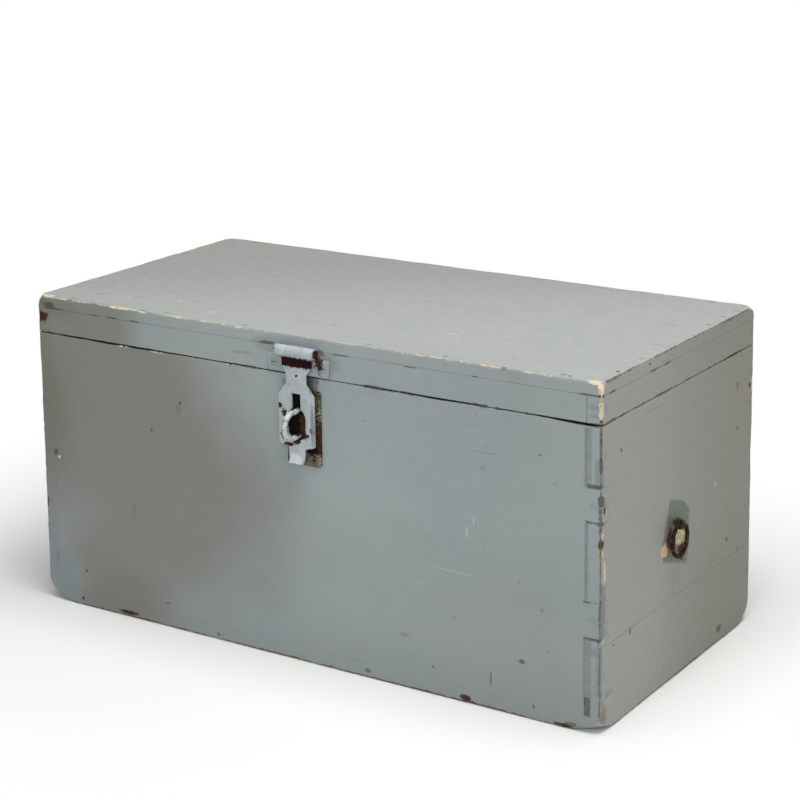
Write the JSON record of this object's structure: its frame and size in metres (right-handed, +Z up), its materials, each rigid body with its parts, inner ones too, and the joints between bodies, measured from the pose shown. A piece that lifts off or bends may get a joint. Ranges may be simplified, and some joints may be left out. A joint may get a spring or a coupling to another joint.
{
  "type": "storage chest",
  "caption": "Painted box-jointed wooden chest with a hinged flat lid, a swinging hasp over a padlock staple and a drop ring on each end.",
  "frame": {"origin": "on the floor, under the middle of the wooden box", "axes": "+X along the length to the right end, -Y out of the front with the hasp, +Z up"},
  "size_m": [0.6438, 0.3442, 0.312],
  "materials": {
    "painted_wood": "old matt grey-blue paint over pine, chipped to bare wood along the edges",
    "painted_iron": "pale grey paint over iron, worn through to rust",
    "rusty_plate": "thin olive paint mostly gone to brown rust",
    "dark_iron": "dark rusted iron, rubbed bright where it is handled",
    "worn_brass": "dull brass, rubbed bright"
  },
  "bodies": {
    "base": {"front_board": "painted_wood", "back_board": "painted_wood", "left_end_upper_board": "painted_wood", "left_end_lower_board": "painted_wood", "right_end_upper_board": "painted_wood", "right_end_lower_board": "painted_wood", "bottom_front_board": "painted_wood", "bottom_back_board": "painted_wood", "left_hinge_base_leaf": "painted_iron", "right_hinge_base_leaf": "painted_iron", "left_hinge_pin": "dark_iron", "right_hinge_pin": "dark_iron", "hinge_base_screws": "dark_iron", "staple_plate": "rusty_plate", "staple_loop": "painted_iron", "staple_plate_screws": "dark_iron", "left_ring_eye": "worn_brass", "right_ring_eye": "worn_brass", "corner_nails": "dark_iron", "bottom_nails": "dark_iron"},
    "lid": {"lid_top_board": "painted_wood", "lid_front_rail": "painted_wood", "lid_back_rail": "painted_wood", "lid_left_rail": "painted_wood", "lid_right_rail": "painted_wood", "left_hinge_lid_leaf": "painted_iron", "right_hinge_lid_leaf": "painted_iron", "hinge_lid_screws": "dark_iron", "hasp_leaf": "painted_iron", "hasp_leaf_screws": "dark_iron", "hasp_pin": "dark_iron", "lid_nails": "dark_iron", "lid_corner_nails": "dark_iron"},
    "hasp": {"hasp_strap": "painted_iron"},
    "left_ring": {"left_ring": "dark_iron"},
    "right_ring": {"right_ring": "dark_iron"}
  },
  "joints": [
    {"name": "lid_hinge", "type": "hinge", "parent": "base", "child": "lid", "pos_m": [0, 0.1588, 0.2755], "axis": [-1, 0, 0], "range_deg": [0, 180]},
    {"name": "hasp_swing", "type": "hinge", "parent": "lid", "child": "hasp", "pos_m": [0.003, -0.1604, 0.2985], "axis": [-1, 0, 0], "range_deg": [0, 195]},
    {"name": "left_ring_swing", "type": "hinge", "parent": "base", "child": "left_ring", "pos_m": [-0.31625, -0.014, 0.149], "axis": [0, 1, 0], "range_deg": [0, 180]},
    {"name": "right_ring_swing", "type": "hinge", "parent": "base", "child": "right_ring", "pos_m": [0.31625, -0.014, 0.149], "axis": [0, -1, 0], "range_deg": [0, 180]}
  ]
}
